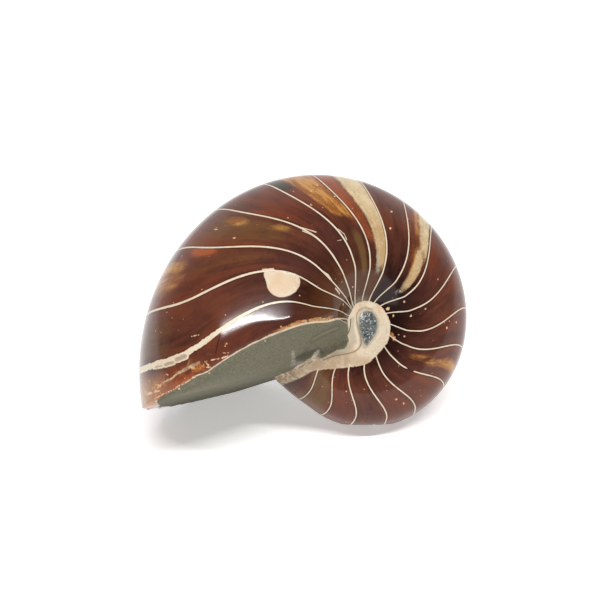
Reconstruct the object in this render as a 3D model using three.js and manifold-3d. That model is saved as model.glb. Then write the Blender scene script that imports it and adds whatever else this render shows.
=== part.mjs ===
// Fossil nautilus: a polished, calcite-filled coil of chambers in one solid piece of stone. It stands on its
// venter and leans back until the far rim of its mouth also touches the ground. Millimetres, +Z up.
import * as THREE from 'three';
import { mergeVertices } from 'three/addons/utils/BufferGeometryUtils.js';
import Module from 'manifold-3d';

// The coil: distance from the axis to the venter is coilRadius * exp(coilGrowth * turn), turn in radians.
const coilRadius = 35.9;
const coilGrowth = 0.1755;
const halfWidth = 0.5;          // widest half section, as a share of the distance to the venter
const widestAt = 0.44;          // where on the way out to the venter that widest place is
const hubShare = 0.45;          // half width at the umbilicus as a share of the widest
const venterPower = 2.1;        // how full the section stays on its way round to the venter
const hubHalfThickness = 18;    // half thickness at the filled umbilicus
const hubFlatRadius = 2.4;
const hubBlendRadius = 12;

// Lengths of whorl in degrees of turn, the mouth being near 200. Each earlier one lies a hair inside
// the next.
const outerWhorl = { start: -60, end: 240, inset: 0 };
const earlierWhorls = [
  { start: -200, end: 60, inset: 0.04 },
  { start: -330, end: -130, inset: 0.08 },
];

// The last of the dorsal wall stays on the earlier whorl, thickening toward the mouth.
const wallStart = -115;
const wallRun = 32;
const wallRise = 0.15;
const wallPower = 1.7;
const wallEnd = -158;

// The mouth: y >= at + slopeX * x + slopeZ * z on each face, in the coil's own frame (z along its axis).
const mouthFaces = [
  { name: 'floor of the matrix', at: -7.02, slopeX: 0.268, slopeZ: 0.018 },
  { name: 'matrix worn back on the near side', at: -7.71, slopeX: 0.4346, slopeZ: 0.539 },
  { name: 'rounding between the two', at: -6.75, slopeX: 0.351, slopeZ: 0.28 },
  { name: 'inner lip broken on the far side', at: -5.4, slopeX: 0.777, slopeZ: -0.3 },
];

// The stance: turned about its own height, leaned back, and cut level where it touches the ground.
const turnToward = 17;
const leanBack = 50.5;
const centreHeight = 25.0;      // coil centre above the ground
const facetTilt = 60;           // the ground facet on the front of the venter, against the level
const facetDistance = 26.5;     // from the coil centre

const sectionStep = 5;
const innerSteps = 7;
const outerSteps = 9;

const radians = THREE.MathUtils.degToRad;

function smooth(value, from, to) {
  const t = THREE.MathUtils.clamp((value - from) / (to - from), 0, 1);
  return t * t * (3 - 2 * t);
}

function wallThickening(turn) {
  if (turn >= wallStart) return 0;
  const reach = (wallStart - Math.max(turn, wallEnd)) / wallRun;
  return wallRise * reach ** wallPower;
}

function venterDistance(turn) {
  return coilRadius * Math.exp(coilGrowth * radians(turn)) * (1 + wallThickening(turn));
}

function sectionShape(share) {
  if (share < widestAt) {
    return hubShare + (1 - hubShare) * Math.sin((share / widestAt) * (Math.PI / 2));
  }
  const rest = (share - widestAt) / (1 - widestAt);
  return Math.max(0, 1 - rest ** venterPower) ** (1 / venterPower);
}

// Half of one section, from the axis out over the flank to the venter, as [distance, height] pairs.
function halfSection(turn, inset) {
  const reach = venterDistance(turn);
  const hub = hubFlatRadius / reach;
  const shares = [0];
  for (let i = 0; i <= innerSteps; i++) {
    shares.push(hub + (widestAt - hub) * (i / innerSteps));
  }
  for (let i = 1; i <= outerSteps; i++) {
    shares.push(widestAt + (1 - widestAt) * Math.sin((i / outerSteps) * (Math.PI / 2)));
  }
  return shares.map((share) => {
    const distance = reach * share;
    const flank = halfWidth * reach * sectionShape(share);
    const blend = smooth(distance, hubFlatRadius, hubBlendRadius);
    const height = hubHalfThickness * (1 - blend) + flank * blend;
    return [distance * (1 - inset / reach), Math.max(0, height - inset)];
  });
}

function capTriangles(outline) {
  const contour = outline.map(([distance, height]) => new THREE.Vector2(distance, height));
  return THREE.ShapeUtils.triangulateShape(contour, []);
}

// A filled length of whorl: sections swept round the axis, with a flat cap at each end.
function whorl({ start, end, inset }) {
  const points = [];
  const faces = [];
  const count = Math.round((end - start) / sectionStep);
  const rings = [];
  for (let i = 0; i <= count; i++) {
    const turn = start + i * sectionStep;
    const half = halfSection(turn, inset);
    const near = half.slice(0, -1);
    const far = half.slice(0, -1).reverse().map(([distance, height]) => [distance, -height]);
    const venter = [half[half.length - 1][0], 0];
    const outline = [...near, venter, ...far];
    rings.push(outline);
    for (const [distance, height] of outline) {
      points.push(distance * Math.cos(radians(turn)), distance * Math.sin(radians(turn)), height);
    }
  }
  const length = rings[0].length;
  for (let i = 0; i < count; i++) {
    for (let j = 0; j < length - 1; j++) {
      const a = i * length + j;
      const b = a + length;
      faces.push(a, a + 1, b + 1, a, b + 1, b);
    }
  }
  for (const [a, b, c] of capTriangles(rings[0])) {
    faces.push(a, b, c);
  }
  const last = count * length;
  for (const [a, b, c] of capTriangles(rings[count])) {
    faces.push(last + a, last + c, last + b);
  }
  const geometry = new THREE.BufferGeometry();
  geometry.setAttribute('position', new THREE.Float32BufferAttribute(points, 3));
  geometry.setIndex(faces);
  return geometry;
}

const wasm = await Module();
wasm.setup();

function solidFrom(geometry) {
  const welded = mergeVertices(geometry, 1e-4);
  const index = Array.from(welded.index.array);
  const kept = [];
  for (let i = 0; i < index.length; i += 3) {
    const [a, b, c] = index.slice(i, i + 3);
    if (a !== b && b !== c && c !== a) kept.push(a, b, c);
  }
  return new wasm.Manifold(new wasm.Mesh({
    numProp: 3,
    vertProperties: new Float32Array(welded.attributes.position.array),
    triVerts: new Uint32Array(kept),
  }));
}

// Keeps what lies along the normal beyond the given distance from the origin.
function keepBeyond(solid, normal, distance) {
  const size = Math.hypot(...normal);
  return solid.trimByPlane(normal.map((part) => part / size), distance / size);
}

let outer = solidFrom(whorl(outerWhorl));
for (const face of mouthFaces) {
  outer = keepBeyond(outer, [-face.slopeX, 1, -face.slopeZ], face.at);
}
let fossil = outer;
for (const length of earlierWhorls) {
  fossil = fossil.add(solidFrom(whorl(length)));
}

const stance = new THREE.Matrix4()
  .makeRotationX(radians(leanBack))
  .multiply(new THREE.Matrix4().makeRotationY(radians(turnToward)));
fossil = fossil.transform(stance.toArray());
const facetNormal = [0, Math.cos(radians(facetTilt)), Math.sin(radians(facetTilt))];
fossil = keepBeyond(fossil, facetNormal, -facetDistance);
fossil = keepBeyond(fossil, [0, 0, 1], -centreHeight);

const box = fossil.boundingBox();
fossil = fossil.translate([
  -(box.min[0] + box.max[0]) / 2,
  -(box.min[1] + box.max[1]) / 2,
  centreHeight,
]);

const cut = fossil.getMesh();
const geometry = new THREE.BufferGeometry();
geometry.setAttribute('position', new THREE.Float32BufferAttribute(cut.vertProperties, 3));
geometry.setIndex(Array.from(cut.triVerts));
geometry.computeVertexNormals();

const stone = new THREE.MeshStandardMaterial({ name: 'polished stone', color: 0x5a2a1c, roughness: 0.25 });
const nautilus = new THREE.Mesh(geometry, stone);
nautilus.name = 'fossil_nautilus';

const group = new THREE.Group();
group.name = 'fossil_nautilus_part';
group.add(nautilus);

export default group;
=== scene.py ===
"""Fossil nautilus: the polished coil, its finishes, the pale studio round it and the camera."""

import logging
import math
from dataclasses import dataclass, field
from enum import Enum
from typing import Any, Optional, Sequence, Union

import bpy
import numpy as np
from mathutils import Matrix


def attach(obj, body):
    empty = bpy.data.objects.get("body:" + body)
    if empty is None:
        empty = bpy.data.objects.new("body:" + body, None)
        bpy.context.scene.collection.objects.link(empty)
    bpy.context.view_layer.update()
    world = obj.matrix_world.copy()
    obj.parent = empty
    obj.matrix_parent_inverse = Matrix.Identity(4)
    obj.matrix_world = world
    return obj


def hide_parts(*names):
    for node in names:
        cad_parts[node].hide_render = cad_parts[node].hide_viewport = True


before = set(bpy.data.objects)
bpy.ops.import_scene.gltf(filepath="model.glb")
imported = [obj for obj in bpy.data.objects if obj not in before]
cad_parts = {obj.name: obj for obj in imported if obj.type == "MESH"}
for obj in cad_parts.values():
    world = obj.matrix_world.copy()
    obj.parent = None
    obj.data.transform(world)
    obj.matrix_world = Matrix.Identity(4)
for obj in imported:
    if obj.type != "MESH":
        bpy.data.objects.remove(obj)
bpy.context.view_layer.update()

log = logging.getLogger("fossil_nautilus")

MM = 0.001
NODE = "fossil_nautilus"

Array = np.ndarray
Colour = tuple[float, float, float, float]


def smooth(value: Array, low: float, high: float) -> Array:
    """Rises from 0 at low to 1 at high with level ends: t * t * (3 - 2 t)."""
    t = np.clip((value - low) / (high - low), 0.0, 1.0)
    return t * t * (3.0 - 2.0 * t)


def blended_greater(a: Array, b: Array, reach: Union[Array, float]) -> Array:
    """The greater of a and b, rounded over where they differ by less than reach.

    Args:
        a: First field, in millimetres.
        b: Second field, in millimetres.
        reach: Width of the rounded stretch, in millimetres.

    Returns:
        b + (a - b) h + reach h (1 - h), with h going from 0 to 1 as a passes b.
    """
    h = np.clip(0.5 + 0.5 * (a - b) / reach, 0.0, 1.0)
    return b + (a - b) * h + reach * h * (1.0 - h)


def blended_lesser(a: Array, b: Array, reach: Union[Array, float]) -> Array:
    """The lesser of a and b, rounded as blended_greater rounds the greater."""
    return -blended_greater(-a, -b, reach)


def srgb(red: float, green: float, blue: float) -> Colour:
    """Turns a colour as a screen shows it into the linear one that shaders use.

    Args:
        red: Red part, 0 to 255.
        green: Green part, 0 to 255.
        blue: Blue part, 0 to 255.

    Returns:
        The linear colour, opaque.
    """

    def linear(part: float) -> float:
        """One channel with the screen's curve undone.

        Args:
            part: The channel, 0 to 255.

        Returns:
            The linear channel, 0 to 1.
        """
        share = part / 255.0
        if share <= 0.04045:
            return share / 12.92
        return ((share + 0.055) / 1.055) ** 2.4

    return (linear(red), linear(green), linear(blue), 1.0)


class Side(Enum):
    """Which flank of the coil a marking is on."""

    NEAR = 1.0
    FAR = -1.0


@dataclass(frozen=True)
class Coil:
    """The coil's driving dimensions, in millimetres and degrees, and the fields worked out from them."""

    radius: float = 35.9
    growth: float = 0.1755
    half_width: float = 0.5
    widest_at: float = 0.44
    hub_share: float = 0.45
    venter_power: float = 2.1
    hub_half_thickness: float = 18.0
    hub_flat: float = 2.4
    hub_blend: float = 12.0
    wall_start: float = -115.0
    wall_run: float = 32.0
    wall_rise: float = 0.15
    wall_power: float = 1.7
    wall_end: float = -158.0
    outer_from: float = -60.0
    earlier_to: float = 60.0

    def venter(self, turn: Array) -> Array:
        """Distance from the axis to the venter: radius e^(growth turn), with the last dorsal wall on it.

        Args:
            turn: Degrees of turn along the coil.

        Returns:
            The distance in millimetres.
        """
        reach = np.clip(self.wall_start - np.maximum(turn, self.wall_end), 0.0, None) / self.wall_run
        wall = 1.0 + self.wall_rise * reach ** self.wall_power
        return self.radius * np.exp(self.growth * np.radians(turn)) * wall

    def flank(self, distance: Array, venter: Array) -> Array:
        """Half width of the section at a distance from the axis.

        A sine rise from the hub to the widest place, then a superellipse round to the venter, all of it
        blended into the filled umbilicus near the axis.

        Args:
            distance: Distance from the axis, in millimetres.
            venter: Distance from the axis to the venter there, in millimetres.

        Returns:
            The half width in millimetres.
        """
        share = np.clip(distance / venter, 0.0, 1.0)
        rise = np.sin(np.minimum(share / self.widest_at, 1.0) * (np.pi / 2))
        inner = self.hub_share + (1.0 - self.hub_share) * rise
        rest = np.clip((share - self.widest_at) / (1.0 - self.widest_at), 0.0, 1.0)
        outer = (1.0 - rest ** self.venter_power) ** (1.0 / self.venter_power)
        shape = np.where(share < self.widest_at, inner, outer)
        blend = smooth(distance, self.hub_flat, self.hub_blend)
        return self.hub_half_thickness * (1.0 - blend) + self.half_width * venter * shape * blend

    def turns(self, bearing: Array) -> tuple[Array, Array]:
        """Turn of the outer and of the earlier whorl on each bearing.

        Args:
            bearing: Degrees round the axis.

        Returns:
            Both turns in degrees.
        """
        round_bearing = np.mod(bearing, 360.0)
        outer = np.where(round_bearing < 360.0 + self.outer_from, round_bearing, round_bearing - 360.0)
        earlier = np.where(round_bearing < self.earlier_to, round_bearing, round_bearing - 360.0)
        return outer, earlier

    def outside(self, points: Array, turn: Array) -> Array:
        """How far points lie outside a whorl: beyond its flank or its venter, whichever is more.

        Args:
            points: Places in the coil's frame, in millimetres.
            turn: Degrees of turn of the whorl there.

        Returns:
            The distance in millimetres, negative inside.
        """
        distance = np.hypot(points[..., 0], points[..., 1])
        venter = self.venter(turn)
        flank = self.flank(np.minimum(distance, venter), venter)
        return np.maximum(np.abs(points[..., 2]) - flank, distance - venter)


@dataclass(frozen=True)
class MouthFace:
    """One face of the mouth: stone is kept where y >= at + slope_x x + slope_z z, in the coil's frame."""

    at: float
    slope_x: float
    slope_z: float

    def outside(self, points: Array) -> Array:
        """Distance of points beyond the face, in millimetres."""
        lack = self.at + self.slope_x * points[..., 0] + self.slope_z * points[..., 2] - points[..., 1]
        return lack / math.sqrt(1.0 + self.slope_x ** 2 + self.slope_z ** 2)


@dataclass(frozen=True)
class Mouth:
    """The mouth's faces and how softly they run into each other and into the polished flank."""

    floor: MouthFace = MouthFace(-7.02, 0.268, 0.018)
    near_face: MouthFace = MouthFace(-8.6, 0.4346, 0.539)
    far_lip: MouthFace = MouthFace(-5.4, 0.777, -0.3)
    face_round: float = 2.5
    rim_roll: float = 5.5
    inner_roll: float = 3.0
    rim_round: float = 1.0
    seat_round: float = 0.8

    def outside(self, points: Array) -> Array:
        """Distance beyond the nearest of the three faces, rounded where two of them meet."""
        plain = blended_greater(self.floor.outside(points), self.near_face.outside(points), self.face_round)
        return blended_greater(plain, self.far_lip.outside(points), self.face_round)


@dataclass(frozen=True)
class Stance:
    """How the coil stands: turned about its own height, leaned back, and cut level on the ground."""

    turn_toward: float = 17.0
    lean_back: float = 50.5
    centre: tuple[float, float, float] = (13.145, 1.447, 25.0)
    facet_tilt: float = 60.0
    facet_distance: float = 26.5

    def matrix(self) -> Array:
        """Rotation from the coil's frame to the row's: about Y by the turn, then about X by the lean.

        Returns:
            The three by three matrix.
        """
        a, b = math.radians(self.turn_toward), math.radians(self.lean_back)
        about_y = np.array([[math.cos(a), 0, math.sin(a)], [0, 1, 0], [-math.sin(a), 0, math.cos(a)]])
        about_x = np.array([[1, 0, 0], [0, math.cos(b), -math.sin(b)], [0, math.sin(b), math.cos(b)]])
        return about_x @ about_y

    def ground_limit(self, directions: Array) -> Array:
        """Distance along each coil direction to the ground or to the facet ground on the front.

        Args:
            directions: Unit vectors in the coil's frame.

        Returns:
            The distances in millimetres, endless where a direction meets neither.
        """
        standing = directions @ self.matrix().T
        tilt = math.radians(self.facet_tilt)
        limit = np.full(directions.shape[:-1], np.inf)
        for normal, distance in (
            ((0.0, 0.0, 1.0), self.centre[2]),
            ((0.0, math.cos(tilt), math.sin(tilt)), self.facet_distance),
        ):
            fall = -(standing @ np.array(normal))
            limit = np.minimum(limit, np.where(fall > 1e-6, distance / np.maximum(fall, 1e-6), np.inf))
        return limit

    def to_row(self, points: Array) -> Array:
        """Coil-frame millimetres to row-frame metres."""
        return (points @ self.matrix().T + np.array(self.centre)) * MM


@dataclass(frozen=True)
class Suture:
    """One suture line: where it crosses the venter, how far it sweeps back on the flank, how far it turns
    at the hub, how far it bows forward between, all in degrees, half its thickness in millimetres, and the
    share of that which it loses on its way to the hub."""

    venter: float
    sweep: float
    hub_turn: float
    bow: float = 0.0
    half: float = 0.2
    taper: float = 0.0


@dataclass(frozen=True)
class SutureLines:
    """Every suture from the oldest to the youngest.

    The last two keep the count of chambers rising round the lip, past the last one that is drawn whole, and
    the finish hides most of their length.
    """

    lines: tuple[Suture, ...] = (
        Suture(-160.0, 16.0, 0.0),
        Suture(-145.0, 16.0, 0.0, 0.0, 0.14),
        Suture(-128.0, 14.0, 0.0, -4.0, 0.16),
        Suture(-109.5, 16.5, 0.0, -4.5, 0.17),
        Suture(-90.8, 20.7, 0.0, -2.0, 0.19),
        Suture(-70.4, 20.3, 0.0, -0.6, 0.19),
        Suture(-51.5, 17.1, 0.0, 1.0, 0.19),
        Suture(-29.2, 16.7, 5.0, 1.6, 0.19),
        Suture(-6.6, 15.5, 10.0, 2.4, 0.19),
        Suture(13.3, 16.0, 18.0, 2.8, 0.19),
        Suture(34.2, 11.7, 18.0, 1.2, 0.19),
        Suture(55.0, 14.2, 22.0, 2.2, 0.2),
        Suture(71.2, 10.0, 17.0, 0.8, 0.2),
        Suture(90.0, 10.4, 11.0, 0.4, 0.22),
        Suture(107.4, 12.3, 12.0, 0.8, 0.22),
        Suture(124.0, 12.3, 13.5, 0.2, 0.25),
        Suture(140.9, 14.2, 5.0, -1.6, 0.26),
        Suture(157.2, 15.4, -3.0, -0.8, 0.28, 0.2),
        Suture(176.6, 21.6, -14.0, -3.2, 0.36, 0.45),
        Suture(191.5, 20.2, -11.0, 0.4, 0.52, 0.7),
        Suture(211.0, 24.0, -16.0, -1.4, 0.2),
        Suture(238.0, 24.0, -16.0, -1.4, 0.2),
    )
    breaks: tuple[tuple[float, float, float], ...] = ((7.0, 0.57, 0.034),)
    lobe_outer: float = 0.06
    lobe_inner: float = 0.58
    hub_share: float = 0.35
    hub_run: float = 0.2
    bow_run: float = 0.62

    def bearings(self, share: Array) -> Array:
        """Turn of every suture at a share of the way to the venter.

        venter - sweep L + hub_turn N + bow W, where L rises smoothly from the venter inward, N is the
        remaining way to the hub to the power 1.5, and W is one even hump from the venter to the hub's edge.

        Args:
            share: Distance from the axis over distance to the venter.

        Returns:
            One row per suture, in degrees.
        """
        lobe = smooth(1.0 - share, self.lobe_outer, self.lobe_inner)
        hub = np.clip((self.hub_share - share) / self.hub_run, 0.0, None) ** 1.5
        venter = np.array([line.venter for line in self.lines])
        sweep = np.array([line.sweep for line in self.lines])
        turn = np.array([line.hub_turn for line in self.lines])
        bow = np.array([line.bow for line in self.lines])
        middle = np.clip((1.0 - share) / self.bow_run, 0.0, 1.0)
        hump = 16.0 * (middle * (1.0 - middle)) ** 2
        return (venter[:, None] - sweep[:, None] * lobe + turn[:, None] * hub + bow[:, None] * hump)

    def chamber(self, turn: Array, share: Array) -> Array:
        """Chambers counted from the first suture: a whole number on each line, even steps between.

        Args:
            turn: Degrees of turn along the coil.
            share: Distance from the axis over distance to the venter.

        Returns:
            The chamber coordinate.
        """
        lines = self.bearings(share.ravel())
        steps = (turn.ravel() - lines[:-1]) / np.maximum(lines[1:] - lines[:-1], 2.0)
        return np.clip(steps, 0.0, 1.0).sum(axis=0).reshape(turn.shape)

    def half_thickness(self, chamber: Array, share: Array) -> Array:
        """Half thickness of the nearest suture, in millimetres, drawn evenly from one to the next.

        Each of the breaks names a line, the share where it is broken and half the break's length.

        Args:
            chamber: Chamber coordinate.
            share: Distance from the axis over distance to the venter.

        Returns:
            The half thickness, thinned toward the hub by the line's taper.
        """
        count = np.arange(len(self.lines))
        half = np.interp(chamber, count, [line.half for line in self.lines])
        taper = np.interp(chamber, count, [line.taper for line in self.lines])
        half = half * (1.0 - taper * (1.0 - smooth(share, 0.35, 0.85)))
        half = half * (0.7 + 0.3 * smooth(share, 0.18, 0.45))
        for line, middle, reach in self.breaks:
            gone = (np.abs(chamber - line) < 0.5) * (1.0 - smooth(np.abs(share - middle), 0.6 * reach, reach))
            half = half - gone * (half + 0.3)
        return half


@dataclass(frozen=True)
class Outline:
    """A smooth line through a few points on the flank, seen along the coil's axis, in millimetres."""

    points: tuple[tuple[float, float], ...]
    closed: bool = True
    steps: int = 10

    def curve(self) -> Array:
        """Catmull-Rom points: at each point the cubic runs level with the line between its two neighbours.

        Returns:
            The points in order, the first one again at the end of a closed line.
        """
        control = np.array(self.points)
        if self.closed:
            control = np.vstack([control[-1:], control, control[:2]])
        else:
            control = np.vstack([2 * control[:1] - control[1:2], control, 2 * control[-1:] - control[-2:-1]])
        a, b, c, d = control[:-3], control[1:-2], control[2:-1], control[3:]
        t = np.linspace(0.0, 1.0, self.steps, endpoint=False)[:, None, None]
        path = 0.5 * (2 * b + (c - a) * t + (2 * a - 5 * b + 4 * c - d) * t ** 2
                      + (3 * b - a - 3 * c + d) * t ** 3)
        path = path.transpose(1, 0, 2).reshape(-1, 2)
        return np.vstack([path, path[:1] if self.closed else control[-2:-1]])

    def distance(self, x: Array, y: Array) -> Array:
        """Distance to the line in millimetres: positive inside a closed one, never negative by an open one.

        Args:
            x: Coil-frame x of every point.
            y: Coil-frame y of every point.

        Returns:
            The least distance to any straight stretch of the curve, with its sign from the crossing count.
        """
        path = self.curve()
        nearest = np.full(x.shape, 1e3)
        crossings = np.zeros(x.shape, dtype=int)
        for start, end in zip(path[:-1], path[1:]):
            run = end - start
            along = ((x - start[0]) * run[0] + (y - start[1]) * run[1]) / max(float(run @ run), 1e-9)
            along = np.clip(along, 0.0, 1.0)
            gap = np.hypot(x - start[0] - along * run[0], y - start[1] - along * run[1])
            nearest = np.minimum(nearest, gap)
            spans = (start[1] > y) != (end[1] > y)
            rise = run[1] if abs(run[1]) > 1e-9 else 1e-9
            crossings += spans & (x < start[0] + (y - start[1]) * run[0] / rise)
        if not self.closed:
            return nearest
        return np.where(crossings % 2 == 1, nearest, -nearest)


@dataclass(frozen=True)
class NearSideMarks:
    """Outlines on the near side: the pale ring with its band, the dark core and a seam round the umbilicus,
    the hollow painted with shade, the ridge and the vein in the sediment, and the light blob."""

    ring: Outline = Outline((
        (-4.5, 6.0), (-2.5, 7.1), (-0.3, 7.5), (2.6, 6.9), (5.2, 4.9), (7.1, 1.0), (6.6, -3.4),
        (4.2, -6.9), (1.5, -9.8), (-1.5, -11.0), (-3.9, -11.4), (-7.1, -11.8), (-10.7, -12.1),
        (-15.3, -12.8), (-18.6, -13.9), (-19.0, -12.4), (-17.1, -11.1), (-11.9, -8.8), (-8.7, -6.8),
        (-6.2, -6.1), (-5.4, -4.3), (-6.0, -2.4), (-7.0, 1.3), (-5.8, 3.8),
    ))
    core: Outline = Outline((
        (-0.4, 4.6), (1.3, 4.1), (2.5, 1.6), (2.2, -1.5), (0.7, -4.1), (-0.5, -5.4), (-2.1, -3.4),
        (-3.1, -0.6), (-3.1, 2.0), (-2.1, 3.9),
    ))
    seam: Outline = Outline((
        (1.0, 5.1), (-0.7, 5.5), (-2.3, 5.1), (-3.5, 3.9), (-3.9, 2.4), (-3.6, 0.5), (-3.1, -1.4),
        (-2.4, -3.3), (-2.0, -4.9), (-2.4, -6.2), (-3.6, -7.1), (-5.7, -7.7), (-9.0, -8.3), (-12.4, -9.7),
    ), closed=False)
    hollow: Outline = Outline((
        (-22.3, -9.8), (-19.8, -7.9), (-16.9, -6.6), (-12.6, -6.4), (-9.5, -5.6), (-7.0, -4.2), (-5.8, -4.6),
        (-7.6, -6.6), (-11.5, -8.2), (-15.2, -10.4), (-18.4, -10.9),
    ))
    ridge: Outline = Outline(((-18.4, -5.3), (-16.2, -3.8), (-13.7, -2.6), (-10.8, -1.4)), closed=False)
    vein: Outline = Outline((
        (-23.6, -8.4), (-22.2, -9.8), (-21.6, -11.3), (-20.1, -11.0), (-17.3, -10.4), (-15.9, -9.3),
        (-14.4, -7.4),
    ), closed=False)
    blob: Outline = Outline((
        (-34.6, 12.3), (-32.0, 12.6), (-28.9, 12.8), (-25.7, 12.3), (-24.5, 10.8), (-24.8, 8.6), (-26.6, 6.4),
        (-29.5, 5.2), (-32.0, 5.6), (-33.6, 7.2), (-34.2, 9.4),
    ))


@dataclass(frozen=True)
class Stroke:
    """A small mark on the near side: a rounded line of points in the coil's plane, half wide each way."""

    half: float
    points: tuple[tuple[float, float], ...]


@dataclass(frozen=True)
class SmallMarks:
    """Splinters and crumbs of shell, the panes in the last suture, and the marks near the lip and hub."""

    splinters: tuple[Stroke, ...] = (
        Stroke(0.16, ((-23.6, 26.7), (-21.5, 26.1), (-18.6, 25.3))),
        Stroke(0.14, ((-22.5, 25.4), (-20.3, 24.5), (-17.8, 23.0))),
        Stroke(0.12, ((-11.7, 26.8), (-9.8, 25.3), (-9.2, 23.7))),
        Stroke(0.08, ((-12.1, 23.2), (-10.9, 23.5))),
        Stroke(0.22, ((-17.6, 13.8), (-15.5, 12.8), (-14.2, 11.3))),
        Stroke(0.2, ((-12.7, 9.3), (-11.2, 8.1))),
        Stroke(0.22, ((-34.8, 13.2), (-31.9, 13.4))),
    )
    crumbs: tuple[Stroke, ...] = (
        Stroke(0.34, ((5.4, 28.7),)), Stroke(0.3, ((24.8, 0.8),)), Stroke(0.28, ((28.5, 3.0),)),
        Stroke(0.24, ((17.1, 5.9),)), Stroke(0.3, ((10.2, -20.3),)), Stroke(0.26, ((12.9, -21.3),)),
        Stroke(0.24, ((8.8, 10.6),)), Stroke(0.24, ((2.4, 23.7),)),
        Stroke(0.28, ((6.8, 34.2),)), Stroke(0.24, ((-18.9, 34.0),)), Stroke(0.28, ((-45.2, 26.6),)),
        Stroke(0.24, ((-41.5, 23.2),)), Stroke(0.3, ((-61.2, -20.0),)), Stroke(0.24, ((-60.7, -20.1),)),
        Stroke(0.5, ((6.0, 5.7),)), Stroke(0.2, ((7.9, 3.7),)), Stroke(0.28, ((12.8, 3.6),)),
        Stroke(0.24, ((-9.3, 5.3),)), Stroke(0.3, ((10.4, 7.6),)),
        Stroke(0.36, ((-62.0, -20.3),)), Stroke(0.2, ((-45.7, -9.0), (-45.3, -8.2))),
        Stroke(0.06, ((-46.1, -10.8), (-44.6, -10.8))), Stroke(0.1, ((-50.7, -13.1), (-49.6, -14.2))),
        Stroke(0.14, ((-50.2, -14.6), (-48.9, -14.6))), Stroke(0.12, ((-48.9, -12.7), (-47.3, -12.4))),
        Stroke(0.16, ((-46.2, -12.2), (-44.9, -11.6))), Stroke(0.08, ((-53.7, -5.8), (-52.2, -5.5))),
        Stroke(0.1, ((-59.2, -15.8), (-59.0, -16.3))), Stroke(0.1, ((-60.9, -21.9), (-59.4, -21.0))),
    )
    panes: tuple[Stroke, ...] = (
        Stroke(0.75, ((-57.0, -11.9), (-55.6, -11.3))),
        Stroke(0.55, ((-59.4, -13.0), (-58.2, -12.7))),
        Stroke(0.3, ((-61.4, -13.3), (-60.4, -13.3))),
    )
    streak: tuple[Stroke, ...] = (
        Stroke(0.22, ((-59.5, -17.8), (-58.3, -17.2), (-56.5, -15.6))),
        Stroke(0.42, ((-56.5, -15.6), (-55.3, -15.0), (-53.7, -14.1), (-52.2, -13.4))),
    )
    gold: tuple[Stroke, ...] = (
        Stroke(0.75, ((-53.0, -15.0), (-51.2, -14.6))),
        Stroke(0.6, ((-61.2, -19.0), (-60.3, -18.1))),
        Stroke(0.4, ((7.6, -1.5), (8.4, -3.2))),
    )
    crack: tuple[Stroke, ...] = (Stroke(0.12, ((-46.4, -4.3), (-47.4, -7.5), (-48.1, -10.8))),)
    rib: tuple[Stroke, ...] = (
        Stroke(0.26, ((-4.1, 2.6), (-4.4, 0.5), (-3.9, -1.3), (-3.3, -3.2), (-2.8, -5.0))),
    )
    wall: tuple[Stroke, ...] = (
        Stroke(1.0, ((-4.9, 1.8), (-4.8, -1.0), (-4.2, -4.2), (-5.5, -6.3), (-9.0, -7.5))),
    )
    slit: tuple[Stroke, ...] = (Stroke(0.18, ((-5.8, 1.8), (-5.8, 0.0), (-6.0, -1.9))),)


class StainKind(Enum):
    """The colours that mineral stains take on this fossil."""

    GOLDEN = 0
    KHAKI = 1
    OLIVE = 2
    ORANGE = 3
    PALE = 4
    DARK = 5


@dataclass(frozen=True)
class Stain:
    """A stain in chamber and share coordinates: hard-edged or soft on each side, on one flank or both."""

    kind: StainKind
    chambers: tuple[float, float]
    shares: tuple[float, float]
    strength: float = 1.0
    soft_before: float = 0.12
    soft_after: float = 0.12
    soft_share: float = 0.05
    side: Optional[Side] = None

    def weight(self, chamber: Array, share: Array, height: Array) -> Array:
        """The stain's strength inside it, falling smoothly to 0 over the soft widths round it.

        Args:
            chamber: Chamber coordinate.
            share: Distance from the axis over distance to the venter.
            height: Coil-frame z, which tells the flanks apart.

        Returns:
            The weight.
        """
        first, last = self.chambers
        low, high = self.shares
        across = smooth(chamber, first - self.soft_before, first + self.soft_before) * (
            1.0 - smooth(chamber, last - self.soft_after, last + self.soft_after))
        along = smooth(share, low - self.soft_share, low + self.soft_share) * (
            1.0 - smooth(share, high - self.soft_share, high + self.soft_share))
        weight = self.strength * across * along
        if self.side is not None:
            weight = weight * smooth(self.side.value * height, -3.0, 3.0)
        return weight


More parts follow.
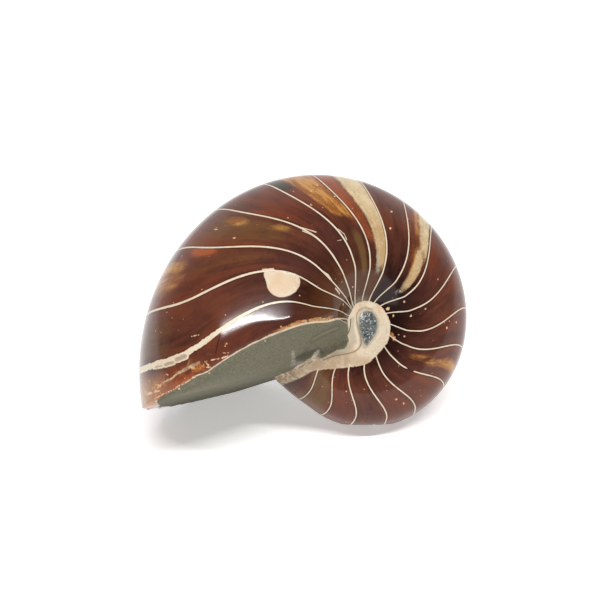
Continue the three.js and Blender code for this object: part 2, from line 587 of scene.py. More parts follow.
STAINS: tuple[Stain, ...] = (
    Stain(StainKind.GOLDEN, (14.1, 14.66), (0.66, 1.2), 1.25, 0.07, 0.12),
    Stain(StainKind.ORANGE, (13.95, 14.3), (0.6, 1.2), 0.5, 0.03, 0.2),
    Stain(StainKind.OLIVE, (14.2, 14.55), (0.3, 0.56), 0.9, 0.1, 0.14),
    Stain(StainKind.KHAKI, (13.04, 13.58), (0.36, 1.2), 1.15, 0.04, 0.13, 0.08),
    Stain(StainKind.ORANGE, (13.6, 14.0), (0.5, 1.2), 0.55, 0.1, 0.03),
    Stain(StainKind.PALE, (13.25, 13.62), (0.3, 0.46), 0.8, 0.08, 0.1),
    Stain(StainKind.KHAKI, (11.08, 11.5), (0.62, 1.2), 1.0, 0.05, 0.12, 0.1),
    Stain(StainKind.KHAKI, (11.22, 11.62), (0.34, 0.66), 0.95, 0.08, 0.1, 0.08),
    Stain(StainKind.GOLDEN, (11.45, 11.7), (0.45, 1.1), 0.6, 0.1, 0.1),
    Stain(StainKind.PALE, (11.25, 11.62), (0.28, 0.44), 0.6, 0.08, 0.1),
    Stain(StainKind.ORANGE, (11.6, 12.0), (0.5, 1.2), 0.35, 0.1, 0.03),
    Stain(StainKind.GOLDEN, (7.3, 7.62), (0.6, 1.2), 0.72, 0.16, 0.16, 0.08),
    Stain(StainKind.GOLDEN, (7.45, 7.75), (0.47, 0.62), 0.6, 0.12, 0.12, 0.06),
    Stain(StainKind.OLIVE, (1.75, 2.9), (0.66, 1.2), 0.75, 0.25, 0.3, 0.1),
    Stain(StainKind.DARK, (0.2, 1.5), (0.3, 1.2), 0.55, 0.2, 0.3, 0.1),
    Stain(StainKind.OLIVE, (6.1, 7.0), (0.8, 1.2), 0.25, 0.2, 0.3, 0.1),
    Stain(StainKind.GOLDEN, (16.12, 16.42), (0.84, 0.92), 0.75, 0.06, 0.1, 0.03, Side.NEAR),
    Stain(StainKind.GOLDEN, (16.1, 16.45), (0.68, 0.75), 0.5, 0.08, 0.12, 0.03, Side.NEAR),
    Stain(StainKind.OLIVE, (16.1, 16.85), (0.66, 0.97), 0.6, 0.12, 0.25, 0.06),
    Stain(StainKind.OLIVE, (17.1, 17.7), (0.6, 0.95), 0.4, 0.15, 0.3, 0.1),
    Stain(StainKind.DARK, (14.72, 15.0), (0.88, 0.98), 1.0, 0.08, 0.01, 0.03),
    Stain(StainKind.DARK, (15.75, 16.0), (0.86, 1.1), 0.5, 0.1, 0.01, 0.04),
    Stain(StainKind.ORANGE, (17.03, 17.16), (0.87, 0.95), 1.2, 0.01, 0.08, 0.03, Side.NEAR),
    Stain(StainKind.GOLDEN, (17.25, 17.75), (0.94, 1.02), 0.8, 0.14, 0.2, 0.03),
    Stain(StainKind.OLIVE, (18.2, 18.9), (0.93, 1.05), 0.5, 0.14, 0.1, 0.03),
    Stain(StainKind.ORANGE, (19.35, 21.0), (0.84, 1.2), 1.0, 0.15, 0.1, 0.05),
)


@dataclass
class NautilusBody:
    """The whole fossil as one closed surface about the coil's centre, with its markings as attributes."""

    coil: Coil = field(default_factory=Coil)
    mouth: Mouth = field(default_factory=Mouth)
    stance: Stance = field(default_factory=Stance)
    sutures: SutureLines = field(default_factory=SutureLines)
    marks: NearSideMarks = field(default_factory=NearSideMarks)
    columns: int = 520
    rows: int = 188
    nearest: float = 2.0
    farthest: float = 80.0
    marches: int = 66
    halvings: int = 14
    out_of_reach: float = 50.0

    def parts(self, points: Array) -> tuple[Array, Array, Array]:
        """Fields of the outer whorl, of the mouth's faces and of the earlier whorl at each point.

        Args:
            points: Places in the coil's frame, in millimetres.

        Returns:
            The three distances outside them, in millimetres.
        """
        bearing = np.degrees(np.arctan2(points[..., 1], points[..., 0]))
        outer_turn, earlier_turn = self.coil.turns(bearing)
        return (self.coil.outside(points, outer_turn), self.mouth.outside(points),
                self.coil.outside(points, earlier_turn))

    def outside(self, points: Array) -> Array:
        """Positive outside the stone: the outer whorl cut by the mouth, joined with the earlier whorl.

        Args:
            points: Places in the coil's frame, in millimetres.

        Returns:
            The field in millimetres.
        """
        outer, face, earlier = self.parts(points)
        mouth = self.mouth
        toward_hub = smooth(points[..., 0], -40.0, -28.0)
        near_roll = mouth.rim_roll + (mouth.inner_roll - mouth.rim_roll) * toward_hub
        roll = mouth.rim_round + (near_roll - mouth.rim_round) * smooth(points[..., 2], 0.0, 14.0)
        cut = blended_greater(outer, face, roll)
        seat_round = mouth.seat_round * smooth(-points[..., 0], -6.0, 2.0) + 1e-3
        return blended_lesser(cut, earlier, seat_round)

    def directions(self) -> Array:
        """Unit directions on a grid of longitudes and latitudes about the coil's axis, poles left out.

        Returns:
            The grid, a row for each latitude.
        """
        longitude = np.radians(np.linspace(-180.0, 180.0, self.columns, endpoint=False))
        latitude = np.radians(np.linspace(-90.0, 90.0, self.rows + 2)[1:-1])
        around, up = np.meshgrid(longitude, latitude)
        return np.stack([np.cos(up) * np.cos(around), np.cos(up) * np.sin(around), np.sin(up)], axis=-1)

    def surface(self, directions: Array) -> Array:
        """Distance from the centre to the surface along each direction.

        The last inside step of an even march outward is narrowed by halving, then cut at the ground.

        Args:
            directions: Unit vectors, in the coil's frame.

        Returns:
            The distances in millimetres.
        """
        marches = np.linspace(self.nearest, self.farthest, self.marches)
        low = np.full(directions.shape[:-1], marches[0])
        for reach in marches:
            low = np.where(self.outside(directions * reach) < 0.0, reach, low)
        high = low + (marches[1] - marches[0])
        for _ in range(self.halvings):
            middle = 0.5 * (low + high)
            inside = self.outside(directions * middle[..., None]) < 0.0
            low = np.where(inside, middle, low)
            high = np.where(inside, high, middle)
        return np.minimum(low, self.stance.ground_limit(directions))

    def pitch(self, points: Array, chamber: Array) -> Array:
        """Millimetres of surface to one chamber: 1 over the length of the chamber's gradient on the surface.

        Args:
            points: Grid of surface points.
            chamber: Chamber coordinate on the same grid.

        Returns:
            The pitch, held between 1 and 25 mm.
        """
        along = 0.5 * (np.roll(points, -1, axis=1) - np.roll(points, 1, axis=1))
        up = np.gradient(points, axis=0)
        step_along = 0.5 * (np.roll(chamber, -1, axis=1) - np.roll(chamber, 1, axis=1))
        step_up = np.gradient(chamber, axis=0)
        e = (along * along).sum(-1)
        f = (along * up).sum(-1)
        g = (up * up).sum(-1)
        square = (g * step_along ** 2 - 2 * f * step_along * step_up + e * step_up ** 2) / np.maximum(
            e * g - f * f, 1e-9)
        return np.clip(1.0 / np.sqrt(np.maximum(square, 1e-6)), 1.0, 25.0)

    def markings(self, points: Array) -> dict[str, Array]:
        """Every attribute that the finish reads, as one vector per grid point.

        Args:
            points: Grid of surface points in the coil's frame, in millimetres.

        Returns:
            Attribute names with arrays of three numbers a point.
        """
        x, y, z = points[..., 0], points[..., 1], points[..., 2]
        outer, face, earlier = self.parts(points)
        outer_turn, earlier_turn = self.coil.turns(np.degrees(np.arctan2(y, x)))
        seat = np.maximum(outer, face) - earlier
        turn = np.where((seat > 0.0) & ((x < 7.0) | (y < 0.0)), earlier_turn, outer_turn)
        seat = np.where(x < 3.0, seat, self.out_of_reach)
        share = np.clip(np.hypot(x, y) / self.coil.venter(turn), 0.0, 1.0)
        chamber = self.sutures.chamber(turn, share)
        half = self.sutures.half_thickness(chamber, share)
        lip = smooth(chamber, 18.4, 19.0) * smooth(share, 0.55, 0.95)
        half = half * (1.0 + 0.9 * lip)
        ring = self.marks.ring.distance(x, y)
        far_ring = np.minimum(ring, 9.0 - np.hypot(x + 0.3, y + 1.6))
        ring = np.where(z > 0.0, ring, far_ring)
        core = self.marks.core.distance(x, y)
        seam = self.marks.seam.distance(x, y) + self.out_of_reach * (z < 0.0)
        blob = self.marks.blob.distance(x, y) - self.out_of_reach * (z < 0.0)
        stains = {kind: np.zeros_like(share) for kind in StainKind}
        for stain in STAINS:
            stains[stain.kind] = np.maximum(stains[stain.kind], stain.weight(chamber, share, z))
        return {
            "suture": np.stack([chamber, self.pitch(points, chamber), half], axis=-1),
            "edges": np.stack([face - outer, seat, share], axis=-1),
            "hub": np.stack([ring, core, seam], axis=-1),
            "spots": np.stack([blob, stains[StainKind.DARK], stains[StainKind.PALE]], axis=-1),
            "plan": np.stack([x, y, 0.0 * x], axis=-1),
            "mouth": np.stack([line.distance(x, y) for line in (self.marks.hollow, self.marks.ridge,
                                                                self.marks.vein)], axis=-1),
            "stains": np.stack([stains[kind] for kind in (StainKind.GOLDEN, StainKind.KHAKI,
                                                          StainKind.OLIVE)], axis=-1),
            "worn": np.stack([stains[StainKind.ORANGE], z, np.hypot(x, y)], axis=-1),
        }

    def build(self) -> bpy.types.Object:
        """Makes the closed mesh: quads between the grid's rows, and a fan to one point at each pole.

        Returns:
            The fossil's object, its place in its mesh.
        """
        directions = self.directions()
        grid = directions * self.surface(directions)[..., None]
        poles = np.array([[0.0, 0.0, -1.0], [0.0, 0.0, 1.0]])
        tips = poles * self.surface(poles)[:, None]
        markings = self.markings(grid)
        rows, columns = grid.shape[:2]
        flat = np.vstack([grid.reshape(-1, 3), tips])
        start = (np.arange(rows - 1)[:, None] * columns + np.arange(columns)).ravel()
        beside = (np.arange(rows - 1)[:, None] * columns + (np.arange(columns) + 1) % columns).ravel()
        quads = np.stack([start, beside, beside + columns, start + columns], axis=-1)
        first = np.arange(columns)
        after = (first + 1) % columns
        last = (rows - 1) * columns
        south = np.stack([np.full(columns, rows * columns), after, first], axis=-1)
        north = np.stack([np.full(columns, rows * columns + 1), last + first, last + after], axis=-1)
        corners = np.concatenate([quads.ravel(), south.ravel(), north.ravel()])
        sizes = np.concatenate([np.full(len(quads), 4), np.full(2 * columns, 3)])
        mesh = bpy.data.meshes.new(NODE + "_surface")
        mesh.vertices.add(len(flat))
        mesh.vertices.foreach_set("co", self.stance.to_row(flat).astype(np.float32).ravel())
        mesh.loops.add(len(corners))
        mesh.loops.foreach_set("vertex_index", corners.astype(np.int32))
        mesh.polygons.add(len(sizes))
        mesh.polygons.foreach_set("loop_start", (np.cumsum(sizes) - sizes).astype(np.int32))
        mesh.update(calc_edges=True)
        mesh.polygons.foreach_set("use_smooth", np.ones(len(sizes), dtype=bool))
        for name, values in markings.items():
            ends = np.stack([values[0].mean(axis=0), values[-1].mean(axis=0)])
            data = np.vstack([values.reshape(-1, 3), ends]).astype(np.float32)
            mesh.attributes.new(name, "FLOAT_VECTOR", "POINT").data.foreach_set("vector", data.ravel())
        mesh.validate()
        piece = bpy.data.objects.new(NODE + "_dressed", mesh)
        bpy.context.scene.collection.objects.link(piece)
        return piece


Value = Union["Field", float, int]


class Field:
    """A socket's value that Python arithmetic works on: each operator adds one Math node."""

    def __init__(self, shop: "Workshop", socket: bpy.types.NodeSocket) -> None:
        """Wraps one output socket of a node in the workshop's material."""
        self.shop = shop
        self.socket = socket

    def math(self, operation: str, *others: Value) -> "Field":
        """A Math node on this value and the others, in order."""
        return self.shop.math(operation, self, *others)

    def __add__(self, other: Value) -> "Field":
        """Sum."""
        return self.math("ADD", other)

    __radd__ = __add__

    def __sub__(self, other: Value) -> "Field":
        """Difference."""
        return self.math("SUBTRACT", other)

    def __rsub__(self, other: Value) -> "Field":
        """Difference the other way round."""
        return self.shop.math("SUBTRACT", other, self)

    def __mul__(self, other: Value) -> "Field":
        """Product."""
        return self.math("MULTIPLY", other)

    __rmul__ = __mul__

    def __abs__(self) -> "Field":
        """The value without its sign."""
        return self.math("ABSOLUTE")

    def __mod__(self, other: Value) -> "Field":
        """Remainder, never negative."""
        return self.math("FLOORED_MODULO", other)

    def least(self, other: Value) -> "Field":
        """The lesser of the two."""
        return self.math("MINIMUM", other)

    def most(self, other: Value) -> "Field":
        """The greater of the two."""
        return self.math("MAXIMUM", other)

    def floor(self) -> "Field":
        """The whole part."""
        return self.math("FLOOR")

    def ramp(self, low: Value, high: Value) -> "Field":
        """0 at low, 1 at high and smooth between; low may be the greater."""
        return self.shop.take("ShaderNodeMapRange", {"interpolation_type": "SMOOTHSTEP", "clamp": True},
                              {"Value": self, "From Min": low, "From Max": high}, "Result")

    def line(self, low: Value, high: Value) -> "Field":
        """0 at low, 1 at high and straight between, held inside 0 to 1."""
        return self.shop.take("ShaderNodeMapRange", {"interpolation_type": "LINEAR", "clamp": True},
                              {"Value": self, "From Min": low, "From Max": high}, "Result")


class Workshop:
    """Makes one material's nodes."""

    def __init__(self, name: str) -> None:
        """Starts a material with an empty node tree.

        Args:
            name: The material's name.
        """
        self.material = bpy.data.materials.new(name)
        self.material.use_nodes = True
        self.tree = self.material.node_tree
        self.tree.nodes.clear()

    @classmethod
    def of_tree(cls, tree: bpy.types.NodeTree) -> "Workshop":
        """A workshop for a node tree that is already there.

        Args:
            tree: The node tree.

        Returns:
            The workshop, with no material of its own.
        """
        shop = cls.__new__(cls)
        shop.material = None
        shop.tree = tree
        return shop

    def make(self, kind: str, settings: dict[str, Any], inputs: dict[Any, Any]) -> bpy.types.Node:
        """Adds a node.

        Args:
            kind: The node's type name.
            settings: Attributes that are set before anything else.
            inputs: Values or links, by socket name or number.

        Returns:
            The node.
        """
        node = self.tree.nodes.new(kind)
        for name, setting in settings.items():
            setattr(node, name, setting)
        for name, value in inputs.items():
            socket = node.inputs[name]
            if isinstance(value, Field):
                self.tree.links.new(value.socket, socket)
            else:
                socket.default_value = value
        return node

    def take(self, kind: str, settings: dict[str, Any], inputs: dict[Any, Any], output: Any) -> Field:
        """Adds a node and returns one of its outputs."""
        return Field(self, self.make(kind, settings, inputs).outputs[output])

    def math(self, operation: str, *values: Value) -> Field:
        """One Math node on the values, in order."""
        return self.take("ShaderNodeMath", {"operation": operation}, dict(enumerate(values)), 0)

    def vector(self, operation: str, *values: Any, output: str = "Vector") -> Field:
        """One Vector Math node on the values, in order."""
        return self.take("ShaderNodeVectorMath", {"operation": operation}, dict(enumerate(values)), output)

    def mix(self, share: Value, low: Any, high: Any) -> Field:
        """Colour low where share is 0, colour high where it is 1."""
        return self.take("ShaderNodeMix", {"data_type": "RGBA", "blend_type": "MIX"},
                         {"Factor": share, 6: low, 7: high}, 2)

    def tint(self, share: Value, colour: Any, with_colour: Any) -> Field:
        """A colour multiplied by another, as far as share says."""
        return self.take("ShaderNodeMix", {"data_type": "RGBA", "blend_type": "MULTIPLY"},
                         {"Factor": share, 6: colour, 7: with_colour}, 2)

    def whole_attribute(self, name: str) -> Field:
        """A vector attribute as one vector."""
        return self.take("ShaderNodeAttribute", {"attribute_name": name, "attribute_type": "GEOMETRY"}, {},
                         "Vector")

    def attribute(self, name: str) -> tuple[Field, Field, Field]:
        """The three numbers of a vector attribute."""
        split = self.make("ShaderNodeSeparateXYZ", {}, {"Vector": self.whole_attribute(name)})
        return tuple(Field(self, output) for output in split.outputs)

    def point(self, x: Value, y: Value, z: Value) -> Field:
        """Three values as one vector."""
        return self.take("ShaderNodeCombineXYZ", {}, {0: x, 1: y, 2: z}, 0)

    def inside(self, plan: Field, strokes: Sequence[Stroke]) -> Field:
        """Distance inside the nearest of some strokes, negative outside, in millimetres.

        Each piece of line is measured from the nearest point on it: the foot of the place on the line, kept
        between the two ends.

        Args:
            plan: Place in the coil's plane.
            strokes: The marks.

        Returns:
            The distance.
        """
        deepest: Optional[Field] = None
        for stroke in strokes:
            ends = list(zip(stroke.points[:-1], stroke.points[1:])) or [(stroke.points[0], stroke.points[0])]
            for (ax, ay), (bx, by) in ends:
                run = (bx - ax, by - ay)
                length = run[0] ** 2 + run[1] ** 2
                offset = self.vector("SUBTRACT", plan, (ax, ay, 0.0))
                if length > 0.0:
                    along = self.vector("DOT_PRODUCT", offset, (run[0] / length, run[1] / length, 0.0),
                                        output="Value").line(0.0, 1.0)
                    offset = self.vector("SUBTRACT", offset, self.point(along * run[0], along * run[1], 0.0))
                depth = stroke.half - self.vector("LENGTH", offset, output="Value")
                deepest = depth if deepest is None else deepest.most(depth)
        return deepest

    def millimetres(self) -> Field:
        """Object coordinates in millimetres.

        Returns:
            The place as a vector.
        """
        place = self.take("ShaderNodeTexCoord", {}, {}, "Object")
        return self.take("ShaderNodeVectorMath", {"operation": "SCALE"}, {0: place, "Scale": 1.0 / MM},
                         "Vector")

    def noise(self, place: Field, grain: float, detail: float = 3.0, rough: float = 0.5,
              bend: float = 0.0) -> Field:
        """Soft noise from 0 to 1.

        Args:
            place: Where it is read.
            grain: Size of its features, in the units of place.
            detail: How many finer layers it has.
            rough: How strong the finer layers are.
            bend: How far it is bent out of shape.

        Returns:
            The noise.
        """
        return self.take("ShaderNodeTexNoise", {"noise_dimensions": "3D"},
                         {"Vector": place, "Scale": 1.0 / grain, "Detail": detail, "Roughness": rough,
                          "Distortion": bend}, 0)

    def cells(self, place: Field, spacing: float) -> tuple[Field, Field]:
        """Points scattered about a spacing apart.

        Args:
            place: Where they are read, in millimetres.
            spacing: Millimetres from one to the next.

        Returns:
            The distance to the nearest point in millimetres, and a random number of its own.
        """
        node = self.make("ShaderNodeTexVoronoi", {"voronoi_dimensions": "3D", "feature": "F1"},
                         {"Vector": place, "Scale": 1.0 / spacing})
        tone = self.make("ShaderNodeSeparateColor", {}, {"Color": Field(self, node.outputs["Color"])})
        return Field(self, node.outputs["Distance"]) * spacing, Field(self, tone.outputs[0])

    def surface(self, inputs: dict[str, Any]) -> None:
        """Ends the tree in a Principled shader with those inputs."""
        shader = self.take("ShaderNodeBsdfPrincipled", {}, inputs, "BSDF")
        self.make("ShaderNodeOutputMaterial", {}, {"Surface": shader})


@dataclass(frozen=True)
class CalciteColours:
    """Glossy red-brown calcite of the chambers and the stains in it."""

    shadow: Colour = srgb(26, 10, 8)
    deep: Colour = srgb(38, 16, 13)
    rust: Colour = srgb(94, 53, 40)
    warm: Colour = srgb(120, 60, 36)
    plum: Colour = srgb(66, 36, 33)
    golden: Colour = srgb(188, 136, 70)
    amber: Colour = srgb(140, 84, 38)
    khaki: Colour = srgb(214, 194, 156)
    straw: Colour = srgb(182, 150, 106)
    olive: Colour = srgb(104, 78, 46)
    orange: Colour = srgb(158, 82, 46)
    green_grey: Colour = srgb(50, 50, 40)
    pale: Colour = srgb(168, 160, 140)
    fleck: Colour = srgb(226, 186, 148)
    # painted shade: the darker brown laid beside every suture
    suture_shade: Colour = srgb(88, 52, 40)


@dataclass(frozen=True)
class ShellColours:
    """Cream shell: suture lines, the ring and band round the umbilicus, and the light blob."""

    cream: Colour = srgb(215, 199, 174)
    peach: Colour = srgb(214, 184, 152)
    tan: Colour = srgb(160, 134, 106)
    shade: Colour = srgb(142, 136, 120)
    line: Colour = srgb(240, 222, 196)
    pane: Colour = srgb(166, 142, 124)
    seam: Colour = srgb(92, 66, 50)
    core: Colour = srgb(112, 115, 112)
    core_deep: Colour = srgb(52, 56, 58)
    crystal: Colour = srgb(178, 184, 180)


@dataclass(frozen=True)
class MatrixColours:
    """Grey-green sediment in the mouth."""

    grey: Colour = srgb(110, 107, 88)
    dark: Colour = srgb(75, 72, 58)
    # painted shade colour for the hollow in the sediment
    hollow: Colour = srgb(51, 48, 38)
    sand: Colour = srgb(130, 123, 101)
    calcite: Colour = srgb(169, 166, 154)


@dataclass(frozen=True)
class Readings:
    """What the finish reads at each place: the surface's attributes and the noises laid on it."""

    place: Field
    plan: Field
    chamber: Field
    pitch: Field
    half: Field
    rim: Field
    seat: Field
    share: Field
    ring: Field
    core: Field
    seam: Field
    blob: Field
    dark: Field
    pale: Field
    golden: Field
    khaki: Field
    olive: Field
    orange: Field
    height: Field
    radius: Field
    hollow: Field
    ridge: Field
    vein: Field
    broad: Field
    cloud: Field
    fine: Field
    streak: Field
    scuff: Field

    @classmethod
    def on(cls, shop: Workshop) -> "Readings":
        """Adds the nodes that read the attributes and make the noises.

        Args:
            shop: The material's workshop.

        Returns:
            Every reading.
        """
        place = shop.millimetres()
        chamber, pitch, half = shop.attribute("suture")
        rim, seat, share = shop.attribute("edges")
        ring, core, seam = shop.attribute("hub")
        blob, dark, pale = shop.attribute("spots")
        golden, khaki, olive = shop.attribute("stains")
        orange, height, radius = shop.attribute("worn")
        hollow, ridge, vein = shop.attribute("mouth")
        grown = shop.vector("MULTIPLY", shop.point(chamber, share, height), (4.5, 5.0, 0.05))
        return cls(
            place=place, plan=shop.whole_attribute("plan"), chamber=chamber, pitch=pitch, half=half, rim=rim,
            seat=seat, share=share, ring=ring, core=core, seam=seam, blob=blob, dark=dark, pale=pale,
            golden=golden, khaki=khaki, olive=olive, orange=orange, height=height, radius=radius,
            hollow=hollow, ridge=ridge, vein=vein, broad=shop.noise(place, 9.0, 3.0),
            cloud=shop.noise(place, 3.2, 4.0, 0.6, 0.8), fine=shop.noise(place, 0.7, 4.0, 0.65),
            streak=shop.noise(grown, 1.0, 4.0, 0.6, 0.4), scuff=shop.noise(place, 2.2, 4.0, 0.6, 0.6),
        )


@dataclass(frozen=True)
class FossilFinish:
    """The fossil's one finish: calcite, shell and matrix told apart by the surface's attributes."""

    calcite: CalciteColours = CalciteColours()
    shell: ShellColours = ShellColours()
    matrix: MatrixColours = MatrixColours()
    small: SmallMarks = SmallMarks()
    polish: float = 0.11
    refraction: float = 1.34
    line_softness: float = 0.07
    last_suture: float = 19.0
    relief_strength: float = 0.5
    relief_height: float = 0.12

    def material(self) -> bpy.types.Material:
        """Builds the material: the calcite first, then every layer that shows on it.

        Returns:
            The finished material.
        """
        shop = Workshop("polished_fossil_stone")
        read = Readings.on(shop)
        shell = self.shell_colour(shop, read)
        body = self.stained(shop, read, self.chambers(shop, read))
        body, flecks = self.flecked(shop, read, body)
        body, suture = self.sutured(shop, read, self.worn_lip(shop, read, body), shell)
        body = self.blob_laid(shop, read, body, shell)
        inward = self.inside_rim(read)
        body = self.rim_trimmed(shop, read, body, shell, inward)
        colour, matrix = self.mouth_filled(shop, read, body, inward)
        colour, ring, core = self.hub_laid(shop, read, colour, shell, inward)

        rough = self.polish + suture * 0.15 + matrix.most(ring) * 0.3 + matrix * 0.35 - core * 0.25
        relief = read.fine * (0.06 + matrix * 1.2) + suture * 0.12 + ring * read.cloud * 0.3
        bump = shop.take("ShaderNodeBump", {}, {
            "Strength": self.relief_strength, "Distance": self.relief_height * MM, "Height": relief,
        }, "Normal")
        shop.surface({"Base Color": colour, "Roughness": (rough + flecks * 0.2).least(0.9), "Normal": bump,
                      "IOR": self.refraction})
        return shop.material

    def chambers(self, shop: Workshop, read: Readings) -> Field:
        """Red-brown calcite, deeper toward the hub and a little different from chamber to chamber.

        Args:
            shop: The material's workshop.
            read: What is read at each place.

        Returns:
            The calcite's colour.
        """
        chamber, share = read.chamber, read.share
        tone = shop.take("ShaderNodeTexWhiteNoise", {"noise_dimensions": "1D"}, {"W": chamber.floor()}, 0)
        light = read.broad * 0.5 + read.cloud * 0.3 + read.streak * 0.7 + share.ramp(0.15, 0.85) * 0.55
        light = light + tone * 0.2 - 0.82
        body = shop.mix(light.line(0.0, 0.55), self.calcite.deep, self.calcite.rust)
        body = shop.mix((tone - 0.5).ramp(0.0, 0.3) * 0.5, body, self.calcite.plum)
        body = shop.mix(read.cloud.ramp(0.52, 0.68) * read.broad.ramp(0.4, 0.6) * 0.45, body,
                        self.calcite.plum)
        hub_shade = share.ramp(0.5, 0.2) * (0.4 + 0.5 * chamber.ramp(12.5, 11.0))
        body = shop.mix(hub_shade, body, self.calcite.shadow)
        body = shop.mix(share.ramp(0.48, 0.26) * chamber.ramp(12.4, 13.6) * 0.24, body, self.calcite.amber)
        near_next = (chamber % 1.0).ramp(0.5, 0.95) * read.streak.ramp(0.4, 0.6)
        body = shop.mix(near_next * share.ramp(0.4, 0.8) * 0.45, body, self.calcite.warm)
        return shop.mix((light - 0.42).ramp(0.0, 0.4) * 0.6, body, self.calcite.warm)

    def stained(self, shop: Workshop, read: Readings, body: Field) -> Field:
        """Lays the mineral stains over the calcite, their edges broken by the noises.

        Args:
            shop: The material's workshop.
            read: What is read at each place.
            body: Colour so far.

        Returns:
            The stained colour.
        """
        edge = (read.cloud - 0.5) * 0.5 + (read.streak - 0.5) * 0.6
        speck = (read.fine - 0.5) * 1.2
        body = shop.mix((read.olive + edge).ramp(0.1, 1.0) * 0.8, body, self.calcite.olive)
        body = shop.mix((read.orange + edge + speck * 0.4).ramp(0.1, 1.0) * 0.85, body, self.calcite.orange)
        gold = shop.mix((read.streak + speck * 0.3).ramp(0.4, 0.6), self.calcite.amber, self.calcite.golden)
        body = shop.mix((read.golden + edge).ramp(0.15, 0.95) * 0.92, body, gold)
        light = read.streak * 0.8 + read.cloud * 0.5 + speck * 0.7 + read.share.ramp(0.35, 0.95) * 0.45
        sand = shop.mix((light - 0.5).ramp(0.1, 0.75), self.calcite.straw, self.calcite.khaki)
        body = shop.mix((read.khaki + edge + speck * 0.3).ramp(0.2, 0.95) * 0.92, body, sand)
        body = shop.mix((read.pale + edge + speck).ramp(0.3, 1.0) * 0.7, body, self.calcite.pale)
        return shop.mix((read.dark + edge).ramp(0.2, 0.9) * 0.85, body, self.calcite.green_grey)

    def flecked(self, shop: Workshop, read: Readings, body: Field) -> tuple[Field, Field]:
        """Scatters small cream flecks in the calcite.

        Args:
            shop: The material's workshop.
            read: What is read at each place.
            body: Colour so far.

        Returns:
            The colour with its flecks, and the flecks' mask.
        """
        distance, pick = shop.cells(read.place, 1.7)
        size = (pick - 0.68) * read.broad.ramp(0.4, 0.58)
        flecks = (size - distance).line(-0.08, 0.08) * 0.75
        return shop.mix(flecks, body, self.calcite.fleck), flecks

    def worn_lip(self, shop: Workshop, read: Readings, body: Field) -> Field:
        """Orange and gold wear on the venter past the last suture.

        Args:
            shop: The material's workshop.
            read: What is read at each place.
            body: Colour so far.

        Returns:
            The worn colour.
        """
        worn = read.chamber.ramp(19.05, 19.3) * read.share.ramp(0.76, 0.95)
        body = shop.mix(worn * read.scuff.ramp(0.35, 0.6) * 0.75, body, self.calcite.orange)
        body = shop.mix(worn * read.scuff.ramp(0.55, 0.7) * 0.6, body, self.calcite.golden)
        flaked = (read.scuff + read.fine * 0.4 - 0.2).ramp(0.64, 0.7)
        body = shop.mix(worn * flaked * 0.7, body, self.calcite.fleck)
        return shop.mix(worn * read.share.ramp(0.92, 1.0) * 0.45, body, self.calcite.straw)

    def sutured(self, shop: Workshop, read: Readings, body: Field, shell: Field) -> tuple[Field, Field]:
        """Draws the sutures with painted shade beside them, the small marks, the panes and the ragged strip
        of the last suture.

        A suture shows where the way to the nearest whole chamber number, in millimetres, is less than its
        half width, which a noise makes uneven.

        Args:
            shop: The material's workshop.
            read: What is read at each place.
            body: Colour so far.
            shell: Cream shell colour.

        Returns:
            The colour, and the sutures' mask.
        """
        gap = abs((read.chamber + 0.5) % 1.0 - 0.5) * read.pitch
        last = (0.5 - abs(read.chamber - self.last_suture)).line(0.0, 0.2) * read.share.ramp(0.66, 0.82)
        width = read.half * (0.75 + 0.5 * shop.noise(read.place, 2.4, 2.0))
        width = width + last * (read.cloud + read.fine * 0.4 - 0.7) * 1.3
        suture = (width - gap).line(-self.line_softness, self.line_softness)
        suture = suture * (1.0 - read.chamber.ramp(19.4, 19.6) * read.share.ramp(0.4, 0.5))
        # painted shade: the calcite is darkened in a narrow band on both sides of each suture
        suture_shade = (gap - width).ramp(0.45, 0.05) * 0.6 * read.chamber.ramp(19.6, 19.4)
        body = shop.tint(suture_shade, body, self.calcite.suture_shade)

        near = read.height.ramp(1.0, 3.0)
        body, splinter = self.small_marks(shop, read, body, near)
        colour = shop.mix(read.cloud.ramp(0.5, 0.72) * 0.45, shell, self.shell.tan)
        colour = shop.mix(0.35, colour, self.shell.line)
        pane = shop.inside(read.plan, self.small.panes) + (read.fine - 0.5) * 0.6
        colour = shop.mix((pane - 0.1).line(-0.12, 0.12) * near * 0.85, colour, self.shell.pane)
        suture = suture.most(splinter).most((pane + 0.35).line(-0.1, 0.1) * near)
        body = shop.mix(suture * 0.96, body, colour)
        ragged = (0.9 + (read.cloud - 0.5) * 4.0 - gap).line(-0.2, 0.5) * last
        ragged = ragged * (1.0 - suture) * read.scuff.ramp(0.45, 0.6)
        return shop.mix(ragged * 0.55, body, self.calcite.warm), suture

    def small_marks(self, shop: Workshop, read: Readings, body: Field, near: Field) -> tuple[Field, Field]:
        """Lays the crack, the gold patches, the streak and the crumbs over the calcite.

        Args:
            shop: The material's workshop.
            read: What is read at each place.
            body: Colour so far.
            near: How far onto the near side.

        Returns:
            The colour, and the mask of the splinters.
        """
        plan, cloud, speck = read.plan, read.cloud, read.fine - 0.5
        crack = shop.inside(plan, self.small.crack).line(-0.12, 0.12) * near
        body = shop.mix(crack * 0.8, body, self.calcite.shadow)
        gold = (shop.inside(plan, self.small.gold) + speck * 1.4).line(-0.3, 0.4) * near
        gold_colour = shop.mix((speck + 0.5).ramp(0.42, 0.6), self.calcite.orange, self.calcite.golden)
        gold_colour = shop.mix((speck + cloud).ramp(0.55, 0.65) * 0.8, gold_colour, self.calcite.fleck)
        body = shop.mix(gold * 0.85, body, gold_colour)
        streak = (shop.inside(plan, self.small.streak) + speck * 0.7).line(-0.12, 0.15) * near
        streak_colour = shop.mix(cloud.ramp(0.4, 0.6), self.shell.tan, self.calcite.khaki)
        body = shop.mix(streak * 0.8, body, streak_colour)
        crumbs = (shop.inside(plan, self.small.crumbs) + speck * 1.2).line(-0.1, 0.1) * near
        body = shop.mix(crumbs * 0.85, body, self.calcite.fleck)
        return body, (shop.inside(plan, self.small.splinters) + speck * 0.25).line(-0.07, 0.07) * near * 0.9

